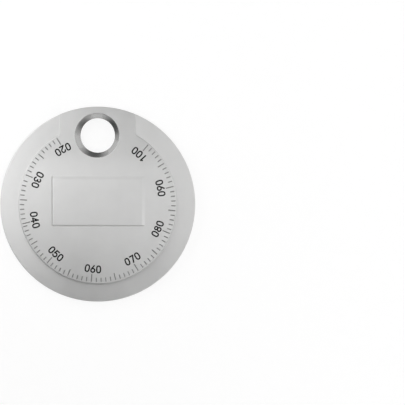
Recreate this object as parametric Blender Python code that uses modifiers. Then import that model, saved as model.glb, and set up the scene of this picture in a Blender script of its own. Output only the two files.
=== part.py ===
"""Round ramp gauge for spark plug gaps: one die casting, lying on its flat back.

Units are metres, +Z is up. The origin is the centre of the flat back. +Z runs along the disc's
axis to the inch face and +Y runs towards the hole. Angles are counted anticlockwise from +X,
seen from the inch face.

The rim is the gauge: its top is a helical ramp, so its thickness grows evenly with the angle.
A raised boss fills the middle, and a tab of the same height crosses the rim and carries the hole.
"""

import math

import bmesh
import bpy
from mathutils import Matrix

MM = 0.001
INCH = 0.0254

# Disc
DISC_DIAMETER = 38.0 * MM
EDGE_BREAK = 0.12 * MM

# Rim, from the thin end of the ramp to the thick end
RIM_WIDTH = 3.63 * MM
THIN_GAUGE = 0.020 * INCH
THICK_GAUGE = 0.100 * INCH

# Boss and tab, which share one flat top above the thick end of the ramp
BOSS_RISE = 0.46 * MM
TAB_WIDTH = 14.6 * MM
WALL_DRAFT = math.radians(2.0)

# Hole in the tab, countersunk on the inch face
HOLE_DIAMETER = 6.7 * MM
HOLE_TO_EDGE = 2.25 * MM
COUNTERSINK_WIDTH = 0.93 * MM
COUNTERSINK_ANGLE = math.radians(100.0)

# Raised plate on the boss
PLATE_WIDTH = 17.8 * MM
PLATE_HEIGHT = 9.25 * MM
PLATE_RISE = 0.16 * MM
PLATE_LIFT = 0.48 * MM
PLATE_CORNER = 0.25 * MM

# Inch scale on the boss: its ends stand clear of the tab's walls by these angles
INCH_STEP = 0.001 * INCH
INCH_LONG_EVERY = 5
INCH_LEAD_IN = math.radians(3.64)
INCH_RUN_OUT = math.radians(11.64)
INCH_MARK_INSET = 0.2 * MM
INCH_SHORT_MARK = 0.85 * MM
INCH_LONG_MARK = 1.4 * MM

# Millimetre scale on the back, centred opposite the hole
METRIC_FIRST = 0.55 * MM
METRIC_LAST = 2.45 * MM
METRIC_STEP = 0.05 * MM
METRIC_LONG_EVERY = 2
METRIC_SWEEP = math.radians(285.0)
METRIC_MARK_INSET = 2.0 * MM
METRIC_SHORT_MARK = 0.9 * MM
METRIC_LONG_MARK = 1.35 * MM

# Engraved marks of both scales, cut with a tool of a square corner, so half as deep as wide
MARK_WIDTH = 0.2 * MM

# Facets, the angle past which an edge is sharp, and how far a cutter runs past what it cuts
DISC_SIDES = 200
HOLE_SIDES = 72
CORNER_SIDES = 4
RAMP_STEP = math.radians(1.8)
SHARP_ANGLE = math.radians(20.0)
CUT_PAST = 1.0 * MM

# Sizes that follow
DISC_RADIUS = DISC_DIAMETER / 2
BOSS_RADIUS = DISC_RADIUS - RIM_WIDTH
HOLE_RADIUS = HOLE_DIAMETER / 2
HOLE_Y = DISC_RADIUS - HOLE_TO_EDGE - HOLE_RADIUS
TOP = THICK_GAUGE + BOSS_RISE
QUARTER_TURN = math.pi / 2
FULL_TURN = 2 * math.pi
TAB_HALF_ANGLE = math.asin(TAB_WIDTH / 2 / BOSS_RADIUS)
SCALE_START = QUARTER_TURN + TAB_HALF_ANGLE + INCH_LEAD_IN
SCALE_END = QUARTER_TURN + FULL_TURN - TAB_HALF_ANGLE - INCH_RUN_OUT
RAMP_SLOPE = (THICK_GAUGE - THIN_GAUGE) / (SCALE_END - SCALE_START)


def ramp_height(angle):
    """Thickness of the rim: it grows in proportion to the angle from the scale's first mark."""
    return THIN_GAUGE + RAMP_SLOPE * (angle - SCALE_START)


def clear_scene():
    for obj in list(bpy.data.objects):
        bpy.data.objects.remove(obj, do_unlink=True)


def new_collection(name):
    collection = bpy.data.collections.new(name)
    bpy.context.scene.collection.children.link(collection)
    return collection


def mesh_object(name, bm, collection):
    """Object with the mesh that bm holds, its faces turned outwards."""
    bmesh.ops.recalc_face_normals(bm, faces=bm.faces)
    mesh = bpy.data.meshes.new(name)
    bm.to_mesh(mesh)
    bm.free()
    obj = bpy.data.objects.new(name, mesh)
    collection.objects.link(obj)
    return obj


def as_cutter(obj):
    obj.hide_render = True
    obj.display_type = "WIRE"
    return obj


def turned(name, profile, sides, collection):
    """Shape turned about its own Z from (radius, height) points that run down its outer side."""
    bm = bmesh.new()
    points = [bm.verts.new((radius, 0.0, height)) for radius, height in profile]
    for upper, lower in zip(points, points[1:]):
        bm.edges.new((upper, lower))
    mesh = bpy.data.meshes.new(name)
    bm.to_mesh(mesh)
    bm.free()
    obj = bpy.data.objects.new(name, mesh)
    collection.objects.link(obj)
    screw = obj.modifiers.new("turn", "SCREW")
    screw.axis = "Z"
    screw.angle = FULL_TURN
    screw.steps = screw.render_steps = sides
    screw.use_merge_vertices = True
    screw.merge_threshold = 0.00001
    return obj


def outline_prism(name, outline, length, collection):
    """Solid of a flat outline, given as (x, y) points, extruded along Z over the length."""
    curve = bpy.data.curves.new(name, "CURVE")
    curve.dimensions = "2D"
    curve.fill_mode = "BOTH"
    curve.extrude = length / 2
    spline = curve.splines.new("POLY")
    spline.points.add(len(outline) - 1)
    for point, (x, y) in zip(spline.points, outline):
        point.co = (x, y, 0.0, 1.0)
    spline.use_cyclic_u = True
    guide = bpy.data.objects.new(name + "_outline", curve)
    bpy.context.scene.collection.objects.link(guide)
    graph = bpy.context.evaluated_depsgraph_get()
    filled = bpy.data.meshes.new_from_object(guide.evaluated_get(graph))
    bpy.data.objects.remove(guide, do_unlink=True)
    bm = bmesh.new()
    bm.from_mesh(filled)
    bpy.data.meshes.remove(filled)
    bmesh.ops.remove_doubles(bm, verts=bm.verts, dist=0.000001)
    return mesh_object(name, bm, collection)


def boolean(obj, operation, other):
    modifier = obj.modifiers.new(other.name, "BOOLEAN")
    modifier.operation = operation
    modifier.solver = "EXACT"
    modifier.object = other


def make_boss_guard(cutters):
    """The boss that the rim cutter has to leave: a drafted cone with a broken top edge."""
    spread = (TOP + CUT_PAST) * math.tan(WALL_DRAFT)
    profile = [
        (0.0, TOP + CUT_PAST),
        (BOSS_RADIUS - EDGE_BREAK - CUT_PAST, TOP + CUT_PAST),
        (BOSS_RADIUS, TOP - EDGE_BREAK),
        (BOSS_RADIUS + spread, -CUT_PAST),
        (0.0, -CUT_PAST),
    ]
    return as_cutter(turned("boss_guard", profile, DISC_SIDES, cutters))


def make_tab_guard(cutters):
    """The tab that the rim cutter has to leave: straight drafted walls with broken top edges."""
    half = TAB_WIDTH / 2
    spread = (TOP + CUT_PAST) * math.tan(WALL_DRAFT)
    right_side = [
        (half + spread, -CUT_PAST),
        (half, TOP - EDGE_BREAK),
        (half - EDGE_BREAK - CUT_PAST, TOP + CUT_PAST),
    ]
    left_side = [(-x, z) for x, z in reversed(right_side)]
    length = DISC_RADIUS + 2 * CUT_PAST
    guard = outline_prism("tab_guard", right_side + left_side, length, cutters)
    guard.rotation_euler.x = QUARTER_TURN
    guard.location.y = length / 2
    return as_cutter(guard)


def make_rim_cutter(cutters):
    """All that is taken off above the rim: a section swept up the ramp, less the boss and tab.

    The sweep starts and ends inside the tab, at half its angle. Its section's lower side is the
    rim's top, and the slope at its outer end breaks the rim's edge.
    """
    inset = TAB_HALF_ANGLE / 2
    start = QUARTER_TURN + inset
    sweep = FULL_TURN - 2 * inset
    steps = round(sweep / RAMP_STEP)
    inner = BOSS_RADIUS - EDGE_BREAK - CUT_PAST / 2
    section = [
        (inner, 0.0),
        (DISC_RADIUS - EDGE_BREAK, 0.0),
        (DISC_RADIUS + CUT_PAST, -EDGE_BREAK - CUT_PAST),
        (DISC_RADIUS + CUT_PAST, TOP),
        (inner, TOP),
    ]
    bm = bmesh.new()
    corners = [bm.verts.new((radius, 0.0, height)) for radius, height in section]
    face = bm.faces.new(corners)
    bmesh.ops.rotate(bm, verts=bm.verts, matrix=Matrix.Rotation(start, 3, "Z"))
    bmesh.ops.translate(bm, verts=bm.verts, vec=(0.0, 0.0, ramp_height(start)))
    bmesh.ops.spin(
        bm,
        geom=[face],
        cent=(0.0, 0.0, 0.0),
        axis=(0.0, 0.0, 1.0),
        dvec=(0.0, 0.0, RAMP_SLOPE * sweep / steps),
        angle=sweep,
        steps=steps,
    )
    cutter = as_cutter(mesh_object("rim_cutter", bm, cutters))
    boolean(cutter, "DIFFERENCE", make_boss_guard(cutters))
    boolean(cutter, "DIFFERENCE", make_tab_guard(cutters))
    return cutter


def make_hole_cutter(cutters):
    """Bore through the tab with a conical countersink at the inch face."""
    slope = math.tan(COUNTERSINK_ANGLE / 2)
    profile = [
        (0.0, TOP + CUT_PAST),
        (HOLE_RADIUS + COUNTERSINK_WIDTH + CUT_PAST * slope, TOP + CUT_PAST),
        (HOLE_RADIUS, TOP - COUNTERSINK_WIDTH / slope),
        (HOLE_RADIUS, -CUT_PAST),
        (0.0, -CUT_PAST),
    ]
    cutter = turned("hole_cutter", profile, HOLE_SIDES, cutters)
    cutter.location.y = HOLE_Y
    return as_cutter(cutter)


def make_plate(cutters):
    """Raised plate with rounded corners, which starts inside the boss and joins it."""
    bm = bmesh.new()
    thickness = PLATE_RISE + BOSS_RISE
    size = Matrix.Diagonal((PLATE_WIDTH, PLATE_HEIGHT, thickness, 1.0))
    place = Matrix.Translation((0.0, PLATE_LIFT, TOP + PLATE_RISE - thickness / 2))
    bmesh.ops.create_cube(bm, size=1.0, matrix=place @ size)
    upright = [e for e in bm.edges if abs(e.verts[0].co.z - e.verts[1].co.z) > thickness / 2]
    bmesh.ops.bevel(bm, geom=upright, offset=PLATE_CORNER, segments=CORNER_SIDES, profile=0.5,
                    affect="EDGES")
    return as_cutter(mesh_object("plate", bm, cutters))


def make_marks(name, angles, long_every, first_long, lengths, outer_radius, surface, cutters):
    """Cutter for a scale: a square bar a mark, along the radius, turned on its edge.

    Its middle lies on the surface, so that its lower corner cuts a V as wide as the bar's diagonal.
    """
    bar = MARK_WIDTH / math.sqrt(2)
    on_edge = Matrix.Rotation(math.pi / 4, 4, "X")
    bm = bmesh.new()
    for index, angle in enumerate(angles):
        is_long = index % long_every == first_long
        length = lengths[1] if is_long else lengths[0]
        size = Matrix.Diagonal((length, bar, bar, 1.0))
        place = Matrix.Rotation(angle, 4, "Z") @ Matrix.Translation(
            (outer_radius - length / 2, 0.0, surface))
        bmesh.ops.create_cube(bm, size=1.0, matrix=place @ on_edge @ size)
    return as_cutter(mesh_object(name, bm, cutters))


def make_inch_marks(cutters):
    """A mark where the rim is each whole step of an inch thick."""
    count = round((THICK_GAUGE - THIN_GAUGE) / INCH_STEP)
    pitch = INCH_STEP / RAMP_SLOPE
    angles = [SCALE_START + index * pitch for index in range(count + 1)]
    lengths = (INCH_SHORT_MARK, INCH_LONG_MARK)
    outer = BOSS_RADIUS - INCH_MARK_INSET
    return make_marks("inch_marks", angles, INCH_LONG_EVERY, 0, lengths, outer, TOP, cutters)


def make_metric_marks(cutters):
    """Marks on the back. The scale's first value is half a long step, so its second is long."""
    count = round((METRIC_LAST - METRIC_FIRST) / METRIC_STEP)
    pitch = METRIC_SWEEP / count
    start = FULL_TURN - QUARTER_TURN - METRIC_SWEEP / 2
    angles = [start + index * pitch for index in range(count + 1)]
    lengths = (METRIC_SHORT_MARK, METRIC_LONG_MARK)
    outer = DISC_RADIUS - METRIC_MARK_INSET
    return make_marks("metric_marks", angles, METRIC_LONG_EVERY, 1, lengths, outer, 0.0, cutters)


def satin_nickel():
    material = bpy.data.materials.new("satin_nickel")
    material.use_nodes = True
    shader = material.node_tree.nodes["Principled BSDF"]
    shader.inputs["Base Color"].default_value = (0.66, 0.66, 0.655, 1.0)
    shader.inputs["Metallic"].default_value = 1.0
    shader.inputs["Roughness"].default_value = 0.38
    return material


def make_gauge_disc(parts, cutters):
    """The casting: a disc cut down to the ramp, with its plate, hole and engraved scales."""
    bm = bmesh.new()
    bmesh.ops.create_cone(
        bm,
        cap_ends=True,
        segments=DISC_SIDES,
        radius1=DISC_RADIUS,
        radius2=DISC_RADIUS,
        depth=TOP,
        matrix=Matrix.Translation((0.0, 0.0, TOP / 2)),
    )
    disc = mesh_object("gauge_disc", bm, parts)
    edge = disc.modifiers.new("edge_break", "BEVEL")
    edge.limit_method = "ANGLE"
    edge.angle_limit = SHARP_ANGLE
    edge.width = EDGE_BREAK
    edge.segments = 1
    boolean(disc, "DIFFERENCE", make_rim_cutter(cutters))
    boolean(disc, "UNION", make_plate(cutters))
    boolean(disc, "DIFFERENCE", make_hole_cutter(cutters))
    boolean(disc, "DIFFERENCE", make_inch_marks(cutters))
    boolean(disc, "DIFFERENCE", make_metric_marks(cutters))
    disc.data.materials.append(satin_nickel())
    return disc


def apply_modifiers(obj):
    """Puts the cut shape into the object's mesh, so that its sharp edges can be marked."""
    graph = bpy.context.evaluated_depsgraph_get()
    uncut = obj.data
    obj.data = bpy.data.meshes.new_from_object(obj.evaluated_get(graph))
    obj.modifiers.clear()
    bpy.data.meshes.remove(uncut)


def shade(obj):
    obj.data.shade_smooth()
    obj.data.set_sharp_from_angle(angle=SHARP_ANGLE)


def main():
    clear_scene()
    parts = new_collection("spark_plug_gap_gauge")
    cutters = new_collection("cutters")
    disc = make_gauge_disc(parts, cutters)
    apply_modifiers(disc)
    shade(disc)


main()
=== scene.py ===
# %% [markdown]
# # A round ramp gauge for spark plug gaps, in satin nickel
#
# The gauge is one small die casting, 38 mm across. Its rim is a ramp that grows thicker round the
# disc, a raised boss fills the middle, and a tab with a countersunk hole crosses the rim. Numbers
# filled with black enamel stand beside an inch scale on the face and a millimetre scale on the back.
#
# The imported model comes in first, as a fixed frame. It says where the casting is and how large it
# is. All that follows dresses that casting: a finer surface, the enamel, the metal and the light.

import math
from collections import namedtuple

import bpy
import numpy as np
from mathutils.geometry import delaunay_2d_cdt
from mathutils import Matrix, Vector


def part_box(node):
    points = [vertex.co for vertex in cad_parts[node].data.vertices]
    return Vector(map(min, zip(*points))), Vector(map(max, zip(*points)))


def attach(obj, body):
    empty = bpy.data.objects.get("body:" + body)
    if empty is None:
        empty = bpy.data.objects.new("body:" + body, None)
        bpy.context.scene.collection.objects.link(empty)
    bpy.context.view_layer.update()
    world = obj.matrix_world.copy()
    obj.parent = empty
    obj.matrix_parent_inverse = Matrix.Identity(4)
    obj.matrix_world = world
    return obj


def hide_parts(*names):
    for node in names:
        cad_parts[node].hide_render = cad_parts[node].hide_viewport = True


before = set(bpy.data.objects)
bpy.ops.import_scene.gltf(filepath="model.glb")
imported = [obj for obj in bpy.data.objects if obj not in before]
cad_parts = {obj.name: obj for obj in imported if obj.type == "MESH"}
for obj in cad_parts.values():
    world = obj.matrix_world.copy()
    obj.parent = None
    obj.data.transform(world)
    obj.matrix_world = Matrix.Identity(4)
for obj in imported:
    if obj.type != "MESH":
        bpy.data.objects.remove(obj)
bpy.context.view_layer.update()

# %% [markdown]
# ## Sizes
#
# Every size is written once, in millimetres, because a gauge is drawn in millimetres. The two that
# the frame can give, the disc's diameter and the height of its top, are read from the frame, so the
# fine surface and the solid can't drift apart. The points are turned into metres at the very end.

# %% Sizes of the casting
MM = 0.001
INCH = 25.4

PLATE_RISE = 0.16
low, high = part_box("gauge_disc")
DISC_RADIUS = round((high.x - low.x) / 2 / MM, 3)
TOP = round(high.z / MM, 3) - PLATE_RISE

RIM_WIDTH = 3.63
BOSS_RADIUS = DISC_RADIUS - RIM_WIDTH
THIN_GAUGE = 0.020 * INCH
THICK_GAUGE = 0.100 * INCH

TAB_WIDTH = 14.6
NOTCH_RADIUS = 0.8
WALL_DRAFT = math.radians(2.0)
ROOT_FILLET = 0.05
TOP_ROUND = 0.08
OUTER_ROUND = 0.12
BACK_ROUND = 0.12

HOLE_RADIUS = 3.35
HOLE_Y = 13.4
COUNTERSINK_WIDTH = 0.97
COUNTERSINK_ANGLE = math.radians(100.0)
COUNTERSINK_CROWN = math.radians(7.0)
COUNTERSINK_LIP = 0.12
COUNTERSINK_DRIFT = (-0.11, 0.02)
HOLE_BACK_ROUND = 0.06

PLATE_WIDTH = 17.8
PLATE_HEIGHT = 9.25
PLATE_LIFT = 0.48
PLATE_CORNER = 0.25
PLATE_LEFT_STEP = 0.42
PLATE_LOWER_STEP = 0.3
PLATE_STEP_INSET = 0.07
PLATE_SOFT_STEP = 0.9
PLATE_SINK = 0.75

print("disc radius", DISC_RADIUS, "boss radius", round(BOSS_RADIUS, 3), "top", round(TOP, 3))

# %% [markdown]
# ## The ramp
#
# On the real gauge the thickness of the rim is the measurement, so the top of the rim is a screw
# surface: its height grows in proportion to the angle and doesn't change along a radius. The angle
# is counted anticlockwise from +X and unwrapped so that it runs from 90 to 450 degrees, with the
# jump hidden under the tab. The inch scale fixes the lead: its first mark is 0.020 in and its last
# 0.100 in.

# %% Ramp
INCH_STEP = 0.001 * INCH
INCH_LEAD_IN = math.radians(3.64)
INCH_RUN_OUT = math.radians(11.64)
TAB_HALF_ANGLE = math.asin(TAB_WIDTH / 2 / BOSS_RADIUS)
SCALE_START = math.pi / 2 + TAB_HALF_ANGLE + INCH_LEAD_IN
SCALE_END = math.pi / 2 + 2 * math.pi - TAB_HALF_ANGLE - INCH_RUN_OUT
RAMP_SLOPE = (THICK_GAUGE - THIN_GAUGE) / (SCALE_END - SCALE_START)


def turn_angle(xy):
    """Angle of plan points about the disc's axis, from 90 up to 450 degrees, in radians."""
    quarter = math.pi / 2
    return quarter + np.mod(np.arctan2(xy[..., 1], xy[..., 0]) - quarter, 2 * math.pi)


def ramp_height(xy):
    """Thin end plus the slope times the angle past the scale's first mark."""
    return THIN_GAUGE + RAMP_SLOPE * (turn_angle(xy) - SCALE_START)


def ramp_normal(xy):
    """The ramp climbs by slope / radius along the tangent, so its normal leans back by as much."""
    angle = turn_angle(xy)
    lean = RAMP_SLOPE / np.hypot(xy[..., 0], xy[..., 1])
    up = np.stack([lean * np.sin(angle), -lean * np.cos(angle), np.ones_like(angle)], axis=-1)
    return up / np.linalg.norm(up, axis=-1, keepdims=True)


print("ramp climbs", round(RAMP_SLOPE * math.radians(90), 3), "mm in a quarter turn")

# %% [markdown]
# ## Patches that share their edges
#
# A cast and plated edge is never sharp, and metal shows every faceted curve. A Bevel modifier on the
# solid would have to cope with a hundred and twenty marks and a ramp that fades into a wall. Here
# the surface is sewn from patches instead: each is a grid of points from a formula and brings its
# own exact normals, and neighbours use the very same points along their common edge. So flats stay
# flat, rounds stay round, and once the patches are welded the casting is closed.

# %% Patches
Patch = namedtuple("Patch", "points faces normals")  # normals: one for each corner of each face


def face_normals(points, faces):
    """Cross product of the two diagonals, or of two sides of a triangle."""
    a, b, c = points[faces[:, 0]], points[faces[:, 1]], points[faces[:, 2]]
    d = points[faces[:, 3]] if faces.shape[1] == 4 else a
    return np.cross(c - a, d - b)


def facing(points, faces, normals):
    """Patch whose faces wind so that they look the way that their normals point."""
    if np.sum(face_normals(points, faces) * normals.mean(axis=1)) < 0:
        faces, normals = faces[:, ::-1], normals[:, ::-1]
    return Patch(points, faces, normals)


def quad_corners(index):
    """The four corners of each cell in a grid of point numbers, or in an array of such grids."""
    corners = (index[..., :-1, :-1], index[..., :-1, 1:], index[..., 1:, 1:], index[..., 1:, :-1])
    return np.stack(corners, axis=-1).reshape(-1, 4)


def grid_patch(points, normals, closed=False):
    """Quads between the rows and columns of a grid; closed joins the last row to the first."""
    index = np.arange(points[..., 0].size).reshape(points.shape[:2])
    faces = quad_corners(np.concatenate([index, index[:1]]) if closed else index)
    return facing(points.reshape(-1, 3), faces, normals.reshape(-1, 3)[faces])


def unit(vectors):
    """Each vector divided by its own length."""
    return vectors / np.linalg.norm(vectors, axis=-1, keepdims=True)


def lifted(plan, height):
    """Plan points or directions with a third coordinate, the same for all or one for each."""
    return np.concatenate([plan, np.broadcast_to(height, plan.shape[:-1])[..., None]], axis=-1)


print("each patch holds:", ", ".join(Patch._fields))

# %% [markdown]
# ## The wall of the boss and tab
#
# Boss and tab share one wall. Seen in plan its path runs down the left side of the tab, through a
# small rounded notch, round the boss, and back up the right side. The wall is a section carried
# along that path: a rounded top edge, a drafted face as the die needs, and a root fillet that lands
# on the ramp. Points of the section are offsets square to the path. Only the notch asks for care,
# because its radius has to be larger than the widest offset.

# %% Path of the wall
WALL_STEPS, NOTCH_STEPS, BOSS_STEPS = 14, 8, 240
EDGE_CIRCLE = DISC_RADIUS - OUTER_ROUND
MIRROR = np.array([-1.0, 1.0])  # turns plan points over, left to right

half_tab = TAB_WIDTH / 2
notch_x = half_tab + NOTCH_RADIUS
notch_y = math.sqrt((BOSS_RADIUS + NOTCH_RADIUS) ** 2 - notch_x**2)
notch_reach = math.asin(notch_x / (BOSS_RADIUS + NOTCH_RADIUS))


def circle_points(angles):
    """Points of a circle of radius 1: the cosine and the sine of each angle."""
    return np.stack([np.cos(angles), np.sin(angles)], axis=-1)


def wall_path():
    """Points of the path, its outward directions, and how far along a tab wall each point is.

    That share is 1 where the wall meets the disc's edge, 0 at the notch and all round the boss.
    """
    share = np.linspace(1, 0, WALL_STEPS, endpoint=False)
    wall = np.tile([half_tab, notch_y], (WALL_STEPS, 1))
    wall_out = np.tile([1.0, 0.0], (WALL_STEPS, 1))
    turn = np.linspace(math.pi, 3 * math.pi / 2 - notch_reach, NOTCH_STEPS, endpoint=False)
    notch = np.array([notch_x, notch_y]) + NOTCH_RADIUS * circle_points(turn)
    notch_out = -circle_points(turn)
    side = np.concatenate([wall, notch])
    side_out = np.concatenate([wall_out, notch_out])
    side_share = np.concatenate([share, np.zeros(NOTCH_STEPS)])
    round_boss = np.linspace(math.pi / 2 + notch_reach, 5 * math.pi / 2 - notch_reach, BOSS_STEPS + 1)
    out = circle_points(round_boss)
    points = np.concatenate([side * MIRROR, BOSS_RADIUS * out, side[::-1]])
    outward = np.concatenate([side_out * MIRROR, out, side_out[::-1]])
    shares = np.concatenate([side_share, np.zeros(BOSS_STEPS + 1), side_share[::-1]])
    return points, outward, shares


print("the wall's path has", len(wall_path()[0]), "points")

# %% Path moved outwards
def offset_path(distance):
    """Path moved outwards by each distance.

    On a tab wall each row is stretched along the wall, so that it ends on the edge circle.
    """
    points, outward, share = wall_path()
    moved = points[:, None] + outward[:, None] * distance[..., None]
    end = np.sqrt(EDGE_CIRCLE**2 - np.minimum(np.abs(moved[..., 0]), EDGE_CIRCLE) ** 2)
    stretched = notch_y + share[:, None] * (end - notch_y)
    moved[..., 1] = np.where(share[:, None] > 0, stretched, moved[..., 1])
    return moved


print("moved out by 0.1 mm, it starts at", offset_path(np.array([[0.1]]))[0, 0].round(2))

# %% Section of the wall
TOP_SEGMENTS, FILLET_SEGMENTS = 5, 6


def wall_grid():
    """Section carried along the path: a quarter round, the drafted face, and a quarter fillet.

    The round turns from straight up to straight out, and the fillet from straight out to the
    ramp's own normal. The fillet's heights are counted from the ramp below each point.
    """
    points, outward, _ = wall_path()
    turn = np.linspace(0, math.pi / 2, TOP_SEGMENTS + 1)
    dip = np.linspace(0, math.pi / 2, FILLET_SEGMENTS + 1)
    drop = TOP - TOP_ROUND - ramp_height(points) - ROOT_FILLET
    root = (np.tan(WALL_DRAFT) * drop)[:, None] + ROOT_FILLET * (1 - np.cos(dip))
    top = np.tile(TOP_ROUND * (np.sin(turn) - 1), (len(points), 1))
    plan = offset_path(np.concatenate([top, root], axis=1))
    top_height = np.tile(TOP - TOP_ROUND * (1 - np.cos(turn)), (len(points), 1))
    root_height = ramp_height(plan[:, TOP_SEGMENTS + 1:]) + ROOT_FILLET * (1 - np.sin(dip))
    height = np.concatenate([top_height, root_height], axis=1)
    grid = lifted(plan, height)
    out = lifted(outward, 0)[:, None]
    up = ramp_normal(plan)
    up[:, :TOP_SEGMENTS + 1] = (0, 0, 1)
    outwards = np.concatenate([np.sin(turn), np.cos(dip)])[:, None]
    upwards = np.concatenate([np.cos(turn), np.sin(dip)])[:, None]
    return grid, unit(out * outwards + up * upwards)


wall_points, wall_normals = wall_grid()
wall = grid_patch(wall_points, wall_normals)
print("wall:", len(wall.faces), "faces, foot from", wall_points[:, -1, 2].min().round(3),
      "to", wall_points[:, -1, 2].max().round(3), "mm high")

# %% [markdown]
# ## The ramp's surface
#
# The rim lies between the foot of the wall and the circle where the disc's outer edge starts to
# round. Straight lines join each point of the foot to a point of that circle: they are radii round
# the boss and fan out beside the tab, where the foot itself runs out to the circle. Every point then
# takes the height that the ramp has there.

# %% Rim
RIM_SEGMENTS = 6


def rim_patch():
    """Ruled grid from the wall's foot to the edge circle, lifted onto the ramp.

    The circle's points are spread evenly in angle beside each tab wall. The grid's first and last
    columns are single points, so a fan of triangles closes each end.
    """
    foot = wall_points[:, -1, :2]
    angles = turn_angle(foot)
    fan = WALL_STEPS + NOTCH_STEPS
    reach = np.linspace(0, 1, fan + 1)
    angles[:fan + 1] = angles[0] + reach * (angles[fan] - angles[0])
    angles[-fan - 1:] = angles[-fan - 1] + reach * (angles[-1] - angles[-fan - 1])
    rim_edge = EDGE_CIRCLE * circle_points(angles)
    share = np.linspace(0, 1, RIM_SEGMENTS + 1)[None, :, None]
    plan = foot[:, None] * (1 - share) + rim_edge[:, None] * share
    grid = lifted(plan, ramp_height(plan))
    normals = ramp_normal(plan)
    middle = grid_patch(grid[1:-1], normals[1:-1])
    ends = []
    for apex, row in ((0, 1), (-1, -2)):
        corners = np.concatenate([grid[apex, :1], grid[row]])
        leans = np.concatenate([normals[apex, :1], normals[row]])
        near = np.arange(1, RIM_SEGMENTS + 1)
        faces = np.stack([np.zeros_like(near), near, near + 1], axis=-1)
        ends.append(facing(corners, faces, leans[faces]))
    return grid[:, -1], normals[:, -1], [middle, *ends]


rim_circle, rim_circle_normals, rim = rim_patch()
print("rim:", sum(len(patch.faces) for patch in rim), "faces, thickness at the edge from",
      rim_circle[:, 2].min().round(3), "to", rim_circle[:, 2].max().round(3), "mm")

# %% [markdown]
# ## The outer edge
#
# From the side, the edge of the disc is a band whose height follows the ramp and jumps up at the
# tab. All the points on the edge circle are put in one ring: round the rim, up the right tab wall,
# across the tab and down the left one. A section with a rounded top, a straight band and a rounded
# bottom then hangs from each point of the ring, so the steps at the tab need no cutting.

# %% Outer edge
TAB_STEPS, BACK_SEGMENTS = 48, 4


def edge_ring():
    """Points on the edge circle with the normals of the tops that they belong to."""
    right, left = wall_points[-1, ::-1], wall_points[0]
    right_out, left_out = wall_normals[-1, ::-1], wall_normals[0]
    turns = np.arctan2([right[-1, 1], left[0, 1]], [right[-1, 0], left[0, 0]])
    tab = lifted(EDGE_CIRCLE * circle_points(np.linspace(*turns, TAB_STEPS + 1)[1:-1]), TOP)
    tab_out = np.tile([0.0, 0.0, 1.0], (TAB_STEPS - 1, 1))
    points = np.concatenate([rim_circle, right[1:], tab, left[:-1]])
    normals = np.concatenate([rim_circle_normals, right_out[1:], tab_out, left_out[:-1]])
    return points, normals, tab


ring, ring_normals, tab_arc = edge_ring()


def edge_patch():
    """Section hung from the ring: a quarter round, a straight band, and a quarter round below."""
    outward = unit(ring * (1, 1, 0))
    turn = np.linspace(0, math.pi / 2, TOP_SEGMENTS + 1)
    under = np.linspace(0, math.pi / 2, BACK_SEGMENTS + 1)
    radius = np.concatenate([EDGE_CIRCLE + OUTER_ROUND * np.sin(turn),
                             DISC_RADIUS - BACK_ROUND * (1 - np.cos(under))])
    upper = ring[:, 2:] - OUTER_ROUND * (1 - np.cos(turn))
    lower = np.tile(BACK_ROUND * (1 - np.sin(under)), (len(ring), 1))
    grid = outward[:, None] * radius[None, :, None]
    grid[..., 2] = np.concatenate([upper, lower], axis=1)
    out = np.concatenate([np.sin(turn), np.cos(under)])[None, :, None]
    along_top = np.concatenate([np.cos(turn), np.zeros(BACK_SEGMENTS + 1)])[None, :, None]
    down = np.concatenate([np.zeros(TOP_SEGMENTS + 1), np.sin(under)])[None, :, None]
    normals = outward[:, None] * out + ring_normals[:, None] * along_top - np.array([0, 0, 1]) * down
    return grid, grid_patch(grid, unit(normals), closed=True)


edge_points, outer_edge = edge_patch()
print("outer edge:", len(outer_edge.faces), "faces")

# %% [markdown]
# ## The hole
#
# The hole is cast straight through and countersunk afterwards with a cone-shaped cutter, which ran a
# hair off the hole's axis, so that its ring is wider on the left. The cutter's edge was worn a little
# round, so the cone is crowned: steeper at the bore than at the face. Lip, crowned cone and the
# bore's edge break at the back are all sections turned about an axis. Bore and cone meet where each
# point of the bore's rim takes the height that the cone has there.

# %% Shapes of the hole
HOLE_SIDES, CONE_SEGMENTS = 128, 4

hole_axis = np.array([0, HOLE_Y])
cone_axis = hole_axis + COUNTERSINK_DRIFT
cone_radius = HOLE_RADIUS + COUNTERSINK_WIDTH
inner_dip = (math.pi - COUNTERSINK_ANGLE) / 2
outer_dip = inner_dip - COUNTERSINK_CROWN


def turned(section, axis):
    """Points and normals of a section turned about an upright axis.

    Each row of the section is a radius, a height, and a normal's parts towards the axis and upwards.
    """
    around = circle_points(np.linspace(0, 2 * math.pi, HOLE_SIDES, endpoint=False))[:, None]
    rows = np.broadcast_to(section, (HOLE_SIDES, *section.shape))
    points = lifted(axis + around * rows[..., :1], rows[..., 1])
    return points, lifted(-around * rows[..., 2:3], rows[..., 3])


def on_cone(plan):
    """Points and normals of the crowned cone over plan points.

    Its slope grows evenly with the way in from its edge, so the depth below the face is
    outer slope * way + growth * way^2 / 2.
    """
    from_axis = plan - cone_axis
    way = cone_radius - np.linalg.norm(from_axis, axis=-1, keepdims=True)
    growth = (math.tan(inner_dip) - math.tan(outer_dip)) / COUNTERSINK_WIDTH
    depth = math.tan(outer_dip) * way + growth * way**2 / 2
    slope = math.tan(outer_dip) + growth * way
    return lifted(plan, TOP - depth[..., 0]), unit(lifted(-unit(from_axis) * slope, 1))


print("the cone dips", round(math.degrees(outer_dip)), "degrees at the face and",
      round(math.degrees(inner_dip)), "at the bore")

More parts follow.
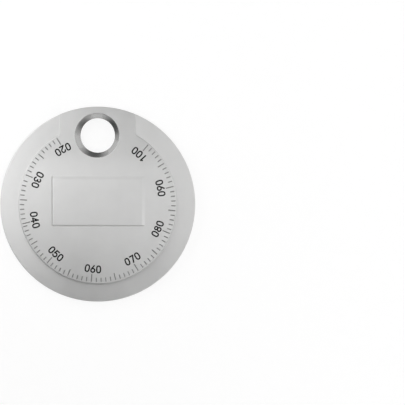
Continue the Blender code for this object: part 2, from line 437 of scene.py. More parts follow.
# %% Countersink and bore
bend = np.linspace(0, outer_dip, TOP_SEGMENTS + 1)
lip_radius = cone_radius + COUNTERSINK_LIP * math.tan(outer_dip / 2)
lip = np.stack([lip_radius - COUNTERSINK_LIP * np.sin(bend),
                TOP - COUNTERSINK_LIP * (1 - np.cos(bend)), np.sin(bend), np.cos(bend)], axis=-1)
turn = np.linspace(0, math.pi / 2, BACK_SEGMENTS + 1)
back_round = np.stack([HOLE_RADIUS + HOLE_BACK_ROUND * (1 - np.cos(turn)),
                       HOLE_BACK_ROUND * (1 - np.sin(turn)), np.cos(turn), -np.sin(turn)], axis=-1)

lip_points, lip_normals = turned(lip, cone_axis)
bore_points, bore_normals = turned(np.concatenate([[[HOLE_RADIUS, TOP, 1, 0]], back_round]), hole_axis)
share = np.linspace(0, 1, CONE_SEGMENTS + 1)[1:, None]
lip_foot, bore_rim = lip_points[:, -1:, :2], bore_points[:, :1, :2]
cone_points, cone_normals = on_cone(lip_foot * (1 - share) + bore_rim * share)
bore_points[:, 0] = cone_points[:, -1]
countersink = grid_patch(np.concatenate([lip_points, cone_points], axis=1),
                         np.concatenate([lip_normals, cone_normals], axis=1), closed=True)
bore = grid_patch(bore_points, bore_normals, closed=True)
print("hole:", len(countersink.faces) + len(bore.faces), "faces, cone down to between",
      bore_points[:, 0, 2].min().round(2), "and", bore_points[:, 0, 2].max().round(2), "mm high")

# %% [markdown]
# ## The raised plate
#
# A plain pad stands a hair above the boss. Its step is lofted between two rectangles with round
# corners, the foot and the smaller crown, and rises as a smooth S, because so low a step has no flat
# side left once it has been plated. The pad was struck unevenly: on the left and at the bottom the
# step is crisp, with a fine groove pressed in at its foot. Towards the upper right the pad sinks
# almost into the boss, and its step turns soft.

# %% Outline and rise of the plate
PLATE_SEGMENTS, CORNER_STEPS = 12, 6


def round_rectangle(low_corner, high_corner, radius):
    """Points round a rectangle, anticlockwise from its right side, and their outward directions."""
    quarter = np.linspace(0, math.pi / 2, CORNER_STEPS + 1)
    outward = circle_points(np.add.outer(np.arange(4) * math.pi / 2, quarter).ravel())
    signs = np.repeat([[1, 1], [-1, 1], [-1, -1], [1, -1]], CORNER_STEPS + 1, axis=0)
    corners = np.where(signs > 0, np.array(high_corner) - radius, np.array(low_corner) + radius)
    return corners + radius * outward, outward


def plate_rise(plan):
    """The pad's height over the boss: a plane that sinks evenly from its lower left corner."""
    share = (plan - (0, PLATE_LIFT)) / (PLATE_WIDTH, PLATE_HEIGHT) + 0.5
    return PLATE_RISE * (1 - PLATE_SINK * np.maximum(share, 0).mean(axis=-1))


print("the plate sinks to", round(PLATE_RISE * (1 - PLATE_SINK), 3), "mm over the boss")

# %% Step of the plate
GROOVE_SHARE, GROOVE_DEPTH = 0.6, 0.34  # of the step's width


def plate_grid():
    """Foot moved to crown by a share t of the way, while it climbs a smooth S out of a round groove.

    height = rise * (3 t^2 - 2 t^3) - depth * width * facing * sin^2(pi t / share), and facing says
    how far the step looks left or down.
    """
    half = np.array([PLATE_WIDTH, PLATE_HEIGHT]) / 2
    crisp, soft = np.array([PLATE_LEFT_STEP, PLATE_LOWER_STEP]) / 2, PLATE_SOFT_STEP / 2
    middle = np.array([0, PLATE_LIFT])
    crisp_middle = middle - half + (PLATE_STEP_INSET, 0)
    foot, outward = round_rectangle(crisp_middle - crisp, middle + half + soft, PLATE_CORNER)
    crown, _ = round_rectangle(crisp_middle + crisp, middle + half - soft, PLATE_CORNER / 2)
    t = np.linspace(0, 1, PLATE_SEGMENTS + 1)
    plan = foot[:, None] + (crown - foot)[:, None] * t[:, None]
    width = np.sum((foot - crown) * outward, axis=1)[:, None]
    groove = GROOVE_DEPTH * width * np.clip(-outward, 0, 1).max(axis=1)[:, None]
    wave = math.pi * np.minimum(t / GROOVE_SHARE, 1)
    rise = plate_rise(crown)[:, None]
    height = TOP + rise * t * t * (3 - 2 * t) - groove * np.sin(wave) ** 2
    climb = rise * 6 * t * (1 - t) - groove * math.pi / GROOVE_SHARE * np.sin(2 * wave)
    lean = outward[:, None] * (climb / width)[..., None]
    return lifted(plan, height), unit(lifted(lean, 1))


plate_points, plate_normals = plate_grid()
plate_step = grid_patch(plate_points, plate_normals, closed=True)
print("plate step:", len(plate_step.faces), "faces")

# %% [markdown]
# ## The engraved marks
#
# Each mark is a V cut with a pointed tool. A box-shaped slot would show its flat bottom as bright as
# the face, while the two slopes of a V throw the light sideways, and that is what makes a bare cut
# in bright metal look dark. All the marks of a scale are made together as one array: mark, place
# along it, place across it.

# %% Cut marks
MARK_WIDTH, MARK_DEPTH = 0.2, 0.1
ALONG = np.array([0.0, 0.5, -0.5, 0.0])  # in widths, from the outer end and from the inner end
ACROSS = np.array([-0.5, -0.25, 0.0, 0.25, 0.5])
Marks = namedtuple("Marks", "plan depth")


def cut_marks(angles, lengths, outer_radius):
    """Hipped V troughs: depth falls evenly from the middle line to both sides and both ends."""
    inward = np.array([0.0, 0.0, 1.0, 1.0]) * lengths[:, None] + ALONG * MARK_WIDTH
    radius = np.broadcast_to((outer_radius - inward)[..., None], (*inward.shape, len(ACROSS)))
    side = np.broadcast_to(ACROSS * MARK_WIDTH, radius.shape)
    cos, sin = np.cos(angles)[:, None, None], np.sin(angles)[:, None, None]
    plan = np.stack([radius * cos - side * sin, radius * sin + side * cos], axis=-1)
    full = np.array([0.0, 1.0, 1.0, 0.0])[None, :, None]
    depth = MARK_DEPTH * full * (1 - 2 * np.abs(ACROSS)) * np.ones_like(side)
    return Marks(plan, depth)


def border(grid):
    """Points round the border of each grid in an array of grids, in order."""
    sides = [grid[:, 0, :-1], grid[:, :-1, -1], grid[:, -1, :0:-1], grid[:, :0:-1, 0]]
    return np.concatenate(sides, axis=1)


print("marks are", MARK_WIDTH, "mm wide and", MARK_DEPTH, "mm deep")

# %% [markdown]
# ## The two scales
#
# Both scales run evenly round the axis: 3.6 degrees for each thousandth of an inch on the face, and
# 150 degrees for each millimetre on the back. The die for the inch face was set out in blocks of ten
# marks, and each block slipped by up to a quarter of a division. Without the slips it looks too
# perfect.

# %% Marks of the inch scale
INCH_MARK_LENGTHS = (1.55, 1.4, 0.85)  # of every tenth mark, every fifth, and the others
INCH_MARK_MARGIN = 0.2  # from the boss's edge
SCALE_SLIP = np.array([-0.07, 0.19, -0.2, -0.23, -0.18, -0.02, -0.22, -0.1])  # of a division


def inch_angle(divisions):
    """First mark's angle plus the turn for a number of divisions."""
    return SCALE_START + divisions * INCH_STEP / RAMP_SLOPE


inch_index = np.arange(round((THICK_GAUGE - THIN_GAUGE) / INCH_STEP) + 1)
inch_angles = inch_angle(inch_index + SCALE_SLIP[np.maximum(inch_index - 1, 0) // 10])
tenth, fifth, other = INCH_MARK_LENGTHS
inch_lengths = np.where(inch_index % 10 == 0, tenth, np.where(inch_index % 5 == 0, fifth, other))
inch_marks = cut_marks(inch_angles, inch_lengths, BOSS_RADIUS - INCH_MARK_MARGIN)
print(len(inch_angles), "inch marks")

# %% Marks of the millimetre scale
METRIC_FIRST, METRIC_LAST, METRIC_STEP = 0.55, 2.45, 0.05
METRIC_LOWEST = 1.5  # the value at the bottom of the disc
METRIC_TURN = math.radians(150.0)  # for each millimetre
METRIC_MARK_LENGTHS = (1.35, 0.9)  # of the marks on the tenths, and of those between
METRIC_MARK_MARGIN = 2.0  # from the disc's edge


def metric_angle(value):
    """Straight down at METRIC_LOWEST, and clockwise by METRIC_TURN for each millimetre more."""
    return -math.pi / 2 - (value - METRIC_LOWEST) * METRIC_TURN


metric_values = np.arange(METRIC_FIRST, METRIC_LAST + METRIC_STEP / 2, METRIC_STEP)
metric_index = np.arange(len(metric_values))
metric_lengths = np.where(metric_index % 2 == 1, *METRIC_MARK_LENGTHS)
metric_marks = cut_marks(metric_angle(metric_values), metric_lengths, DISC_RADIUS - METRIC_MARK_MARGIN)
print(len(metric_values), "millimetre marks")

# %% [markdown]
# ## The numerals
#
# The numbers could be Text objects, but a font's digits are the wrong shape here: these are drawn
# with a pen of one width, from arcs and straight lines. So each digit is a few strokes in a box one
# unit high, and a stroke is a ribbon of quads carried along its line. Where ribbons cross, the flat
# face's triangulation will merge them. The inch numbers were set out by eye: they all lean one way
# and stand slightly off their marks.

# %% Digits
BOWL = 0.29  # half the width of a round digit, for a height of 1


def line(*points):
    """Straight stroke from point to point."""
    return np.array(points, dtype=float)


def arc(x, y, wide, tall, start, end, steps=16, power=2.0):
    """Part of an ellipse about (x, y), between two angles in degrees.

    With a power above 2 it bulges towards a rectangle: |x / wide| ^ power + |y / tall| ^ power = 1.
    """
    angle = np.radians(np.linspace(start, end, steps + 1))
    cos, sin = np.cos(angle), np.sin(angle)
    bulge = (np.abs(cos) ** power + np.abs(sin) ** power) ** (-1 / power)
    return np.stack([x + wide * bulge * cos, y + tall * bulge * sin], axis=-1)


SIX = [arc(0, 0.29, BOWL, 0.29, -180, 180, 24), line((-0.24, 0.45), (0.12, 1))]
DIGITS = {
    "0": [arc(0, 0.5, BOWL, 0.5, -90, 270, 36, 2.7)],
    "1": [line((0.05, 0), (0.05, 1)), line((-0.14, 0.84), (0.05, 1))],
    "2": [np.concatenate([arc(0, 0.7, 0.28, 0.3, 165, -30), line((-0.27, 0))]),
          line((-0.27, 0), (0.3, 0))],
    "3": [arc(-0.02, 0.76, 0.24, 0.24, 145, -90), arc(-0.02, 0.26, 0.3, 0.26, 90, -150)],
    "4": [line((0.12, 1), (-0.31, 0.26)), line((-0.31, 0.26), (0.32, 0.26)),
          line((0.12, 1), (0.12, 0))],
    "5": [line((-0.18, 1), (0.24, 1)), line((-0.18, 1), (-0.24, 0.53)),
          arc(-0.03, 0.31, 0.31, 0.31, 132, -150, 20)],
    "6": SIX,
    "7": [line((-0.22, 1), (0.28, 1)), line((0.28, 1), (-0.08, 0))],
    "8": [arc(0, 0.77, 0.24, 0.23, -90, 270, 24), arc(0, 0.27, BOWL, 0.27, -90, 270, 24)],
    "9": [(0, 1) - stroke for stroke in SIX],
    ".": [line((0, -0.01), (0, 0.01))],
}
print("strokes drawn for", "".join(DIGITS))

# %% Strokes with a width
POINT_PITCH = 0.62  # room for a decimal point, as a share of a digit's


def ribbon(stroke, pen):
    """Quads along a stroke: its points moved half a pen to each side, with square ends.

    The side of a point is square to the direction from the point before to the point after.
    """
    ahead = unit(np.gradient(stroke, axis=0))
    closed = np.allclose(stroke[0], stroke[-1])
    if closed:
        ahead[0] = ahead[-1] = unit(stroke[1] - stroke[-2])
    ends = np.zeros((len(stroke), 1))
    ends[0], ends[-1] = (0, 0) if closed else (-pen / 2, pen / 2)
    middle = stroke + ends * ahead
    side = ahead[:, ::-1] * (1, -1) * pen / 2
    right, left = middle + side, middle - side
    return np.stack([right[:-1], right[1:], left[1:], left[:-1]], axis=1)


def label(text, angle, radius, height, pen, pitch, lean=0.0):
    """Quads of a number that follows a circle, with the tops of its digits towards the centre.

    At the end the whole number is turned clockwise about its own middle, by the lean.
    """
    advance = np.array([POINT_PITCH if character == "." else 1.0 for character in text]) * pitch
    places = np.cumsum(advance) - advance / 2 - advance.sum() / 2
    quads = []
    for character, place in zip(text, places):
        turn = angle + place / radius
        up, along = -circle_points(turn), circle_points(turn + math.pi / 2)
        for stroke in DIGITS[character]:
            cell = ribbon(stroke * (height - pen), pen) - (0, (height - pen) / 2)
            quads.append(cell[..., :1] * along + cell[..., 1:] * up - radius * up)
    middle, (cos, sin) = radius * circle_points(angle), circle_points(lean)
    return middle + (np.concatenate(quads) - middle) @ np.array([(cos, -sin), (sin, cos)])


print("an 8 takes", sum(len(ribbon(stroke, pen=0.2)) for stroke in DIGITS["8"]), "quads")

# %% Numbers of both scales
INCH_TEXT = dict(radius=12.65, height=1.54, pen=0.275, pitch=1.105, lean=math.radians(2.7))
METRIC_TEXT = dict(radius=14.05, height=1.58, pen=0.23, pitch=1.18)
NUMBER_SLIP = np.radians([0.35, 0, 0.05, -0.1, -0.2, 0.35, -0.3, 0.35, 0.25])
THOUSANDTHS, TENTHS = range(20, 101, 10), range(6, 25, 2)  # of an inch, and of a millimetre

inch_numbers = [(f"{value:03d}", inch_angle(value - THOUSANDTHS[0]) + slip)
                for value, slip in zip(THOUSANDTHS, NUMBER_SLIP)]
metric_numbers = [(f"{value / 10:.1f}", metric_angle(value / 10)) for value in TENTHS]
inch_figures = np.concatenate([label(text, angle, **INCH_TEXT) for text, angle in inch_numbers])
metric_figures = np.concatenate([label(text, angle, **METRIC_TEXT) for text, angle in metric_numbers])
print("numbers:", *(text for text, _ in inch_numbers + metric_numbers))

# %% [markdown]
# ## The two flat faces
#
# The face of the boss and the back are flat, but full of holes: the countersink, the plate, the
# marks and the numbers. A constrained triangulation takes all those outlines at once and also says
# which outlines each triangle lies in. What lies in a hole is thrown away, what lies in a ribbon
# belongs to a number, and the rest is the face.

# %% Cut a flat face
Flat = namedtuple("Flat", "plan land figures")
SAME_PLACE = 1e-6  # points closer than this are one
ONLY_INSIDE = 1  # the triangulation's way to keep just what lies in some outline


def flat_face(outline, holes, figures):
    """Triangles of a flat face and of the figures in it.

    outline and holes are loops of plan points, figures an array of quads. All go in as polygons,
    and a triangle belongs to the face if it lies in the outline and in no hole.
    """
    loops = [outline, *holes, *figures]
    sizes = np.array([len(loop) for loop in loops])
    given = np.concatenate(loops)
    starts = np.cumsum(sizes) - sizes
    polygons = [list(range(start, start + size)) for start, size in zip(starts, sizes)]
    points, _, faces, from_points, _, from_polygons = delaunay_2d_cdt(
        given.tolist(), [], polygons, ONLY_INSIDE, SAME_PLACE)
    plan = np.array([tuple(point) for point in points])
    known = np.array([ids[0] if ids else -1 for ids in from_points])
    plan[known >= 0] = given[known[known >= 0]]
    faces = np.array(faces)
    first_figure = 1 + len(holes)
    inside = np.array([0 in ids for ids in from_polygons])
    in_hole = np.array([any(0 < i < first_figure for i in ids) for ids in from_polygons])
    in_figure = np.array([any(i >= first_figure for i in ids) for ids in from_polygons])
    return Flat(plan, faces[inside & ~in_hole & ~in_figure], faces[inside & ~in_hole & in_figure])


top_outline = np.concatenate([wall_points[:, 0, :2], tab_arc[:, :2]])
top_holes = [lip_points[:, 0, :2], plate_points[:, 0, :2], *border(inch_marks.plan)]
top_flat = flat_face(top_outline, top_holes, inch_figures)

back_outline = edge_points[::-1, -1, :2] * MIRROR
back_holes = [bore_points[::-1, -1, :2] * MIRROR, *border(metric_marks.plan)]
back_flat = flat_face(back_outline, back_holes, metric_figures)
print("face:", len(top_flat.land), "triangles, and", len(top_flat.figures), "in its numbers")
print("back:", len(back_flat.land), "triangles, and", len(back_flat.figures), "in its numbers")

# %% [markdown]
# ## Pockets and enamel
#
# The numbers are sunk into the metal and filled with enamel that dries a little below the face. The
# triangles of the figures are used three times: as the floor of the pocket, and as the top and the
# underside of the enamel. The walls stand on the edges that only one triangle of a figure has.

# %% Place a flat face in space
POCKET_DEPTH, ENAMEL_TOP, ENAMEL_UNDERSIDE = 0.06, 0.02, 0.055
Side = namedtuple("Side", "surface mirror up")
FACE = Side(TOP, np.array([1.0, 1.0]), 1.0)
BACK = Side(0.0, MIRROR, -1.0)


def in_space(plan, depth, side):
    """Plan points as seen from outside, put at a depth below that side's surface."""
    return lifted(plan * side.mirror, side.surface - side.up * depth)


def flat_patch(plan, triangles, depth, side, looks=1.0):
    """Level triangles; looks is 1 where they face out of that side and -1 where they face in."""
    normals = np.zeros((*triangles.shape, 3))
    normals[..., 2] = side.up * looks
    return facing(in_space(plan, depth, side), triangles, normals)


def standing_walls(plan, triangles, upper, lower, side, looks):
    """Walls on the outline of some triangles; looks is 1 where they face away from them."""
    edges = triangles[:, [0, 1, 1, 2, 2, 0]].reshape(-1, 2)
    keys = edges[:, 0] * len(plan) + edges[:, 1]
    twins = edges[:, 1] * len(plan) + edges[:, 0]
    edges = edges[~np.isin(keys, twins)]
    points = np.concatenate([in_space(plan, upper, side), in_space(plan, lower, side)])
    faces = np.concatenate([edges, edges[:, ::-1] + len(plan)], axis=1)
    run = (plan[edges[:, 1]] - plan[edges[:, 0]]) * side.mirror
    outward = unit(np.stack([run[:, 1], -run[:, 0], np.zeros(len(run))], axis=-1)) * side.up
    normals = np.repeat(outward[:, None] * looks, 4, axis=1)
    return facing(points, faces, normals)


print("seen from the front, the back's points are mirrored by", BACK.mirror)

# %% Marks, pockets and enamel
def mark_patch(marks, side):
    """The slopes of a scale's marks, each shaded flat."""
    points = in_space(marks.plan, marks.depth, side).reshape(-1, 3)
    faces = quad_corners(np.arange(marks.depth.size).reshape(marks.depth.shape))
    normals = unit(face_normals(points, faces))
    normals *= np.sign(normals[:, 2:]) * side.up
    return facing(points, faces, np.repeat(normals[:, None], 4, axis=1))


def sunk_face(flat, side):
    """Patches of a flat face with the pockets of its numbers."""
    land = flat_patch(flat.plan, flat.land, 0.0, side)
    floor = flat_patch(flat.plan, flat.figures, POCKET_DEPTH, side)
    walls = standing_walls(flat.plan, flat.figures, 0.0, POCKET_DEPTH, side, -1.0)
    return [land, floor, walls]


def enamel(flat, side):
    """Patches of the enamel in one face's numbers."""
    top = flat_patch(flat.plan, flat.figures, ENAMEL_TOP, side)
    underside = flat_patch(flat.plan, flat.figures, ENAMEL_UNDERSIDE, side, -1.0)
    rim_walls = standing_walls(flat.plan, flat.figures, ENAMEL_TOP, ENAMEL_UNDERSIDE, side, 1.0)
    return [top, underside, rim_walls]


plate_outline = plate_points[:, -1, :2]
plate_flat = flat_face(plate_outline, [], np.zeros((0, 4, 2)))
plate_top = flat_patch(plate_flat.plan, plate_flat.land, -plate_rise(plate_flat.plan), FACE)
print("pockets", POCKET_DEPTH, "mm deep, enamel", ENAMEL_TOP, "mm below the face")

# %% [markdown]
# ## Sew the patches
#
# Points that two patches share are welded by rounding them to a nanometre and keeping each place
# once. Nothing moves, so the patches' own normals can be set on the mesh corner by corner. A closed
# surface has exactly two faces on each edge, and that is counted and printed.

# %% Weld patches into a mesh
WELD = 1e-6


def weld(patches):
    """Points kept once, and the faces of all the patches by their new numbers."""
    points = np.concatenate([patch.points for patch in patches])
    _, first, new = np.unique(np.round(points / WELD).astype(np.int64), axis=0,
                              return_index=True, return_inverse=True)
    used_by = np.cumsum([0] + [len(patch.points) for patch in patches[:-1]])
    faces = [new.reshape(-1)[patch.faces + start] for patch, start in zip(patches, used_by)]
    kept = np.unique(np.concatenate([face.ravel() for face in faces]))
    number = np.full(len(first), -1)
    number[kept] = np.arange(len(kept))
    return points[first[kept]], [number[face] for face in faces]


def open_edges(faces):
    """How many edges don't have exactly two faces."""
    pairs = [np.stack([face, np.roll(face, -1, axis=1)], axis=-1).reshape(-1, 2) for face in faces]
    _, uses = np.unique(np.sort(np.concatenate(pairs), axis=1), axis=0, return_counts=True)
    return int(np.sum(uses != 2))


print("points that round to the same", WELD, "mm are welded")

# %% Make an object of patches
def in_scene(name, data):
    """New object in the scene, from the data of a mesh, a camera or a lamp."""
    made = bpy.data.objects.new(name, data)
    bpy.context.scene.collection.objects.link(made)
    return made


def sewn(name, patches, materials, finishes):
    """Object of welded patches at the origin; finishes gives each patch's material number."""
    points, faces = weld(patches)
    mesh = bpy.data.meshes.new(name)
    mesh.from_pydata((points * MM).tolist(), [], [f for face in faces for f in face.tolist()])
    mesh.polygons.foreach_set("use_smooth", np.ones(len(mesh.polygons), bool))
    numbers = np.repeat(finishes, [len(face) for face in faces])
    mesh.polygons.foreach_set("material_index", numbers.astype(np.int32))
    normals = np.concatenate([patch.normals.reshape(-1, 3) for patch in patches])
    mesh.normals_split_custom_set(normals.tolist())
    for material in materials:
        mesh.materials.append(material)
    print(name, "has", len(mesh.polygons), "faces and", open_edges(faces), "open edges")
    return in_scene(name, mesh)


# %% [markdown]
# ## Satin nickel
#
# Nickel over a zinc casting is a neutral, slightly warm grey metal. Tumbling and plating leave it
# satin: it mirrors nothing sharply, but large soft lights still draw broad gradients over it. The
# shader is fully metallic. Two noises in object space do the rest: a fine grain that breaks up the
# highlights, and slow clouds that let the tone and the gloss drift a little, as on a real casting.
#
# One shader maker serves three finishes. The countersink is machined: darker and smoother, so it
# mirrors its surroundings in clear bands. The fine cuts of the scales are rougher, so they are dull,
# and their colour is darker too, as painted shade in the cuts.

# %% Helpers for materials
def with_values(node, **values):
    """Node with some of its sockets set; a socket's spaces are written as underscores."""
    for key, value in values.items():
        node.inputs[key.replace("_", " ")].default_value = value
    return node


def new_material(name, **values):
    """Material, its Principled shader with those values, and a maker of further nodes."""
    material = bpy.data.materials.new(name)
    material.use_nodes = True
    tree = material.node_tree
    shader = with_values(tree.nodes["Principled BSDF"], **values)

    def node(kind, **values):
        """New node in this material."""
        return with_values(tree.nodes.new(kind), **values)

    return material, tree, shader, node


print("materials start from a Principled shader")

# %% Helpers for nodes
FACTOR, FIRST, SECOND, RESULT = 0, 6, 7, 2  # sockets of a Mix node that mixes colours


def mixed_colour(tree, factor, first, second):
    """Mix node from one colour to another, by a factor that comes from a socket."""
    mix = tree.nodes.new("ShaderNodeMix")
    mix.data_type = "RGBA"
    mix.inputs[FIRST].default_value = (*first, 1.0)
    mix.inputs[SECOND].default_value = (*second, 1.0)
    tree.links.new(factor, mix.inputs[FACTOR])
    return mix


def raise_grain(tree, shader, node, noise, strength):
    """Bump of a hundredth of a millimetre, made from a noise."""
    bump = node("ShaderNodeBump", Strength=strength, Distance=0.01 * MM)
    tree.links.new(noise.outputs["Fac"], bump.inputs["Height"])
    tree.links.new(bump.outputs["Normal"], shader.inputs["Normal"])


def calculated(tree, operation, *sockets):
    """Math node that takes its values from sockets."""
    made = tree.nodes.new("ShaderNodeMath")
    made.operation = operation
    for number, socket in enumerate(sockets):
        tree.links.new(socket, made.inputs[number])
    return made


print("colours are mixed from sockets", FIRST, "and", SECOND)

# %% Three finishes of nickel
# The third colour is darker than the nickel: painted shade in the cuts of the scales.
NICKEL, MACHINED, DULL_PAINTED_SHADE = (0.72, 0.72, 0.715), (0.44, 0.44, 0.435), (0.42, 0.42, 0.415)
CLOUD_SCALE, GRAIN_SCALE = 160.0, 9000.0  # in waves to a metre
CLOUD_TONES = (0.93, 1.07)


def satin_metal(name, colour, roughness, spread, grain):
    """Satin metal: clouds vary colour and gloss, and fine noise raises the grain."""
    material, tree, shader, node = new_material(name, Metallic=1.0)
    link = tree.links.new
    place = node("ShaderNodeTexCoord").outputs["Object"]
    clouds = node("ShaderNodeTexNoise", Scale=CLOUD_SCALE, Detail=3.0, Roughness=0.55)
    fine = node("ShaderNodeTexNoise", Scale=GRAIN_SCALE, Detail=2.0, Roughness=0.6)
    for noise in (clouds, fine):
        link(place, noise.inputs["Vector"])
    tones = [[tone * part for part in colour] for tone in CLOUD_TONES]
    tone = mixed_colour(tree, clouds.outputs["Fac"], *tones)
    link(tone.outputs[RESULT], shader.inputs["Base Color"])
    gloss = node("ShaderNodeMapRange", To_Min=roughness - spread, To_Max=roughness + spread)
    link(clouds.outputs["Fac"], gloss.inputs["Value"])
    link(gloss.outputs["Result"], shader.inputs["Roughness"])
    raise_grain(tree, shader, node, fine, grain)
    return material


satin_nickel = satin_metal("satin_nickel", NICKEL, roughness=0.38, spread=0.05, grain=0.35)
machined_nickel = satin_metal("machined_nickel", MACHINED, roughness=0.21, spread=0.02, grain=0.15)
# Rougher nickel for the cuts, with a darker colour as painted shade in them.
dull_shaded_nickel = satin_metal("dull_shaded_nickel", DULL_PAINTED_SHADE, roughness=0.5, spread=0.05, grain=0.35)
print("metals:", satin_nickel.name, machined_nickel.name, dull_shaded_nickel.name)

# %% [markdown]
# ## Painted shade on the tab
#
# The face is painted a shade darker between the plate and the hole: painted shade for the darker light
# on the tab. A second material would end in a hard line. Two smooth ramps do it instead, one over y
# and
# one over z: their product is 1 on top of the tab and 0 on the rim below.

# %% Paint shade on the tab
# share of the nickel's colour left under the tab's painted shade
TAB_PAINTED_SHADE = 0.885
TAB_SHADE_Y = (6.0, 11.5)
TAB_SHADE_Z = (TOP - 0.15, TOP - 0.05)


def paint_tab_shade(material):
    """Painted shade: multiply the metal's colour by the tab's tone, by as much as the ramps over y and
    z say.
    """
    tree = material.node_tree
    shader = tree.nodes["Principled BSDF"]
    plain = shader.inputs["Base Color"].links[0].from_socket
    place = tree.nodes.new("ShaderNodeTexCoord")
    parts = tree.nodes.new("ShaderNodeSeparateXYZ")
    tree.links.new(place.outputs["Object"], parts.inputs["Vector"])
    ramps = []
    for axis, (low_end, high_end) in (("Y", TAB_SHADE_Y), ("Z", TAB_SHADE_Z)):
        ramp = with_values(tree.nodes.new("ShaderNodeMapRange"),
                           From_Min=low_end * MM, From_Max=high_end * MM)
        ramp.interpolation_type = "SMOOTHSTEP"
        tree.links.new(parts.outputs[axis], ramp.inputs["Value"])
        ramps.append(ramp.outputs["Result"])
    share = calculated(tree, "MULTIPLY", *ramps)
    darker = mixed_colour(tree, share.outputs["Value"], (1, 1, 1), (TAB_PAINTED_SHADE, TAB_PAINTED_SHADE, TAB_PAINTED_SHADE))
    darker.blend_type = "MULTIPLY"
    tree.links.new(plain, darker.inputs[FIRST])
    tree.links.new(darker.outputs[RESULT], shader.inputs["Base Color"])


# The tab's painted shade goes into the satin nickel's colour.
paint_tab_shade(satin_nickel)
print("the tab keeps", TAB_PAINTED_SHADE, "of the nickel's brightness")

# %% [markdown]
# ## Black enamel
#
# The enamel in the numbers is thin and half matt. It isn't quite black, and where it was wiped off
# the face it stays a little uneven, so a noise lightens it here and there.

# %% Enamel material
ENAMEL_TONES = ((0.004, 0.004, 0.004), (0.016, 0.016, 0.015))
PATCH_SCALE = 2500.0


def black_enamel():
    """Dark, half matt paint with faint patches."""
    material, tree, shader, node = new_material("black_enamel", Roughness=0.5, Specular_IOR_Level=0.25)
    place = node("ShaderNodeTexCoord").outputs["Object"]
    patches = node("ShaderNodeTexNoise", Scale=PATCH_SCALE, Detail=2.0)
    tree.links.new(place, patches.inputs["Vector"])
    tone = mixed_colour(tree, patches.outputs["Fac"], *ENAMEL_TONES)
    tree.links.new(tone.outputs[RESULT], shader.inputs["Base Color"])
    raise_grain(tree, shader, node, patches, strength=0.2)
    return material


enamel_black = black_enamel()
print("enamel:", enamel_black.name)

# %% [markdown]
# ## The three pieces
#
# The metal is sewn into one casting, because the real one is a single piece, and each patch has its
# finish. The enamel of each face is a piece of its own. The casting takes the place of the plain
# solid, and all three ride on the gauge's only body.

# %% Make the three pieces
plated = [wall, *rim, outer_edge, plate_step, plate_top, bore,
          *sunk_face(top_flat, FACE), *sunk_face(back_flat, BACK)]
cuts = [mark_patch(inch_marks, FACE), mark_patch(metric_marks, BACK)]
finishes = [0] * len(plated) + [1] + [2] * len(cuts)
metals = [satin_nickel, machined_nickel, dull_shaded_nickel]
casting = sewn("gauge_casting", [*plated, countersink, *cuts], metals, finishes)
inch_enamel = sewn("inch_numbers", enamel(top_flat, FACE), [enamel_black], [0, 0, 0])
metric_enamel = sewn("metric_numbers", enamel(back_flat, BACK), [enamel_black], [0, 0, 0])

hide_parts("gauge_disc")
for piece in (casting, inch_enamel, metric_enamel):
    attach(piece, "root")

# %% [markdown]
# ## The camera
#
# The photograph looks straight down on the face, and the gauge fills the left half of the picture. A
# long lens keeps the view nearly parallel. The camera stands beside the disc's axis, not turned, so
# that the disc lands where it is in the photograph, and the lens's shift stays at zero.

# %% Camera
PICTURE = 405  # pixels a side
DISC_CENTRE = (97.78, 204.21)  # pixels from the picture's left and top
DISC_REACH = 97.5  # pixels from the disc's centre to its edge
CAMERA_DISTANCE = 2.0

pixel = DISC_RADIUS * MM / DISC_REACH
camera = in_scene("camera", bpy.data.cameras.new("camera"))
camera.location = ((PICTURE / 2 - DISC_CENTRE[0]) * pixel, (DISC_CENTRE[1] - PICTURE / 2) * pixel,
                   CAMERA_DISTANCE + TOP * MM / 2)
camera.data.lens = camera.data.sensor_width * CAMERA_DISTANCE / (PICTURE * pixel)
bpy.context.scene.camera = camera
print("the picture is", round(PICTURE * pixel / MM, 2), "mm wide, lens", round(camera.data.lens), "mm")

# %% [markdown]
# ## The table
#
# The gauge lies on a white table that runs out of the picture. The photograph's white has no tone
# at all, while a table lit like the gauge would come out grey. So for the camera and in reflections
# most of its white is glow, and the share that is left to the light still takes a soft shadow.

# %% Table
TABLE_REACH = 3.0
TABLE_WHITE = (0.8, 0.8, 0.8, 1.0)
GLOW_SHARE, GLOW = 0.75, 1.12


def white_table():
    """Matt white that is mostly glow for the camera and in reflections."""
    material, tree, shader, node = new_material("white_table", Base_Color=TABLE_WHITE, Roughness=0.9)
    link = tree.links.new
    path = node("ShaderNodeLightPath")
    seen = path.outputs["Is Camera Ray"]
    for other in ("Is Glossy Ray", "Is Transmission Ray"):
        seen = calculated(tree, "MAXIMUM", seen, path.outputs[other]).outputs["Value"]
    share = calculated(tree, "MULTIPLY", seen)
    share.inputs[1].default_value = GLOW_SHARE
    glow = node("ShaderNodeEmission", Strength=GLOW)
    both = node("ShaderNodeMixShader")
    link(share.outputs["Value"], both.inputs["Fac"])
    link(shader.outputs["BSDF"], both.inputs[1])
    link(glow.outputs["Emission"], both.inputs[2])
    link(both.outputs["Shader"], tree.nodes["Material Output"].inputs["Surface"])
    return material


print("the table glows at", GLOW, "over", GLOW_SHARE, "of its white")

# %% Lay the table
def staged(name, points, faces, material):
    """Sheet that isn't part of the object."""
    mesh = bpy.data.meshes.new(name)
    mesh.from_pydata(points.tolist(), [], faces.tolist())
    mesh.materials.append(material)
    sheet = in_scene(name, mesh)
    return sheet


SQUARE = np.array([(-1, -1), (1, -1), (1, 1), (-1, 1)])
FOUR_CORNERS = np.array([(0, 1, 2, 3)])
staged("table", lifted(TABLE_REACH * SQUARE, 0), FOUR_CORNERS, white_table())
print("table", 2 * TABLE_REACH, "m wide")

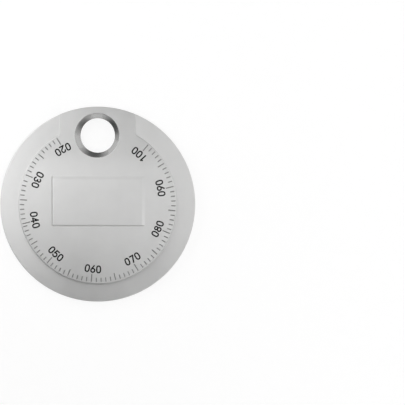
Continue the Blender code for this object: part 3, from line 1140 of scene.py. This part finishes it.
# %% [markdown]
# ## The studio
#
# Polished metal has hardly any colour of its own: it shows what stands round it, so a photographer
# lights it with sheets. A dark sheet above the lower left gives the shade that runs over the bottom
# of the gauge, and a grey one tones down the tab. Only the camera can't see them, so they may hang
# low over the gauge.

# %% Hanging sheets
SHEET_HEIGHT = 0.09


def grey_material(name, grey):
    """Matt grey for the sheets."""
    colour = (grey, grey, grey, 1.0)
    return new_material(name, Base_Color=colour, Roughness=1.0, Specular_IOR_Level=0.0)[0]


def hanging_sheet(name, x, y, width, length, grey):
    """Level sheet over the table, centred at (x, y), which the camera doesn't see."""
    corners = lifted(np.array([x, y]) + SQUARE * (width / 2, length / 2), SHEET_HEIGHT)
    staged(name, corners, FOUR_CORNERS, grey_material(name, grey)).visible_camera = False


hanging_sheet("dark_sheet", x=-0.024, y=-0.0665, width=0.074, length=0.117, grey=0.02)
hanging_sheet("grey_sheet", x=0.0115, y=0.049, width=0.05, length=0.0585, grey=0.28)
print("two sheets hang", SHEET_HEIGHT, "m over the table")

# %% [markdown]
# ## Cards on the horizon
#
# Three curved cards stand far out round the table. The flat faces hardly see them, but the
# countersink, the walls and the edge mirror the horizon, and get their dark and bright bands from
# the cards and the gaps between them. A card with a hard edge would show as a step in the
# countersink, so each one fades from grey at its foot to white at its sides and top.

# %% Standing cards
CARD_DISTANCE = 0.5
CARD_COLUMNS, CARD_ROWS = 48, 24
CARD_SOFTNESS = 0.68


def standing_card(name, azimuth, spread, elevation, grey):
    """Curved card round the table, grey at the middle of its foot and white at its sides and top.

    A point at a share u of the spread and v of the elevation is white where u^2 + v^2 >= 1, and
    turns grey over CARD_SOFTNESS of the way in, as 3 t^2 - 2 t^3. The tone is kept on the points.
    """
    across, up = np.linspace(-1, 1, CARD_COLUMNS + 1), np.linspace(0, 1, CARD_ROWS + 1)
    u, v = np.meshgrid(across, up, indexing="ij")
    turn, rise = np.radians(azimuth + spread * u), np.radians(elevation * v)
    points = CARD_DISTANCE * np.stack([np.cos(turn), np.sin(turn), np.tan(rise)], axis=-1)
    faces = quad_corners(np.arange(u.size).reshape(u.shape).T)
    card = staged(name, points.reshape(-1, 3), faces, grey_material(name, grey))
    t = np.clip((1 - np.hypot(u, v)) / CARD_SOFTNESS, 0, 1)
    tone = card.data.attributes.new("tone", "FLOAT", "POINT")
    tone.data.foreach_set("value", (1 - (1 - grey) * t * t * (3 - 2 * t)).ravel().astype(np.float32))
    tree = card.active_material.node_tree
    reader = tree.nodes.new("ShaderNodeAttribute")
    reader.attribute_name = "tone"
    tree.links.new(reader.outputs["Fac"], tree.nodes["Principled BSDF"].inputs["Base Color"])
    card.visible_camera = False


standing_card("card_behind", azimuth=81.5, spread=41, elevation=59, grey=0.24)
standing_card("card_left", azimuth=208, spread=44.5, elevation=61, grey=0.18)
standing_card("card_right", azimuth=322.5, spread=36, elevation=40.5, grey=0.32)
print("three cards stand", CARD_DISTANCE, "m away")

# %% [markdown]
# ## Lamp and surroundings
#
# White surroundings give the plain silver and fill every shadow. One soft lamp above the upper left
# makes that side brighter. It's much larger than the gauge, so its light has no hard edge.

# %% Lamp and white surroundings
LAMP_SIZE = (0.108, 0.1235)
LAMP_PLACE = (-0.0625, 0.053, SHEET_HEIGHT)
LAMP_POWER = 0.0272
SURROUNDINGS = 1.03

lamp_data = bpy.data.lights.new("soft_lamp", "AREA")
lamp_data.shape = "RECTANGLE"
lamp_data.size, lamp_data.size_y = LAMP_SIZE
lamp_data.energy = LAMP_POWER
lamp = in_scene("soft_lamp", lamp_data)
lamp.location = LAMP_PLACE
lamp.visible_camera = False

world = bpy.context.scene.world or bpy.data.worlds.new("white")
bpy.context.scene.world = world
world.use_nodes = True
with_values(world.node_tree.nodes["Background"], Color=(1.0, 1.0, 1.0, 1.0), Strength=SURROUNDINGS)

bpy.context.scene.view_settings.view_transform = "Standard"
print("lamp of", LAMP_POWER, "W, white surroundings at", SURROUNDINGS)
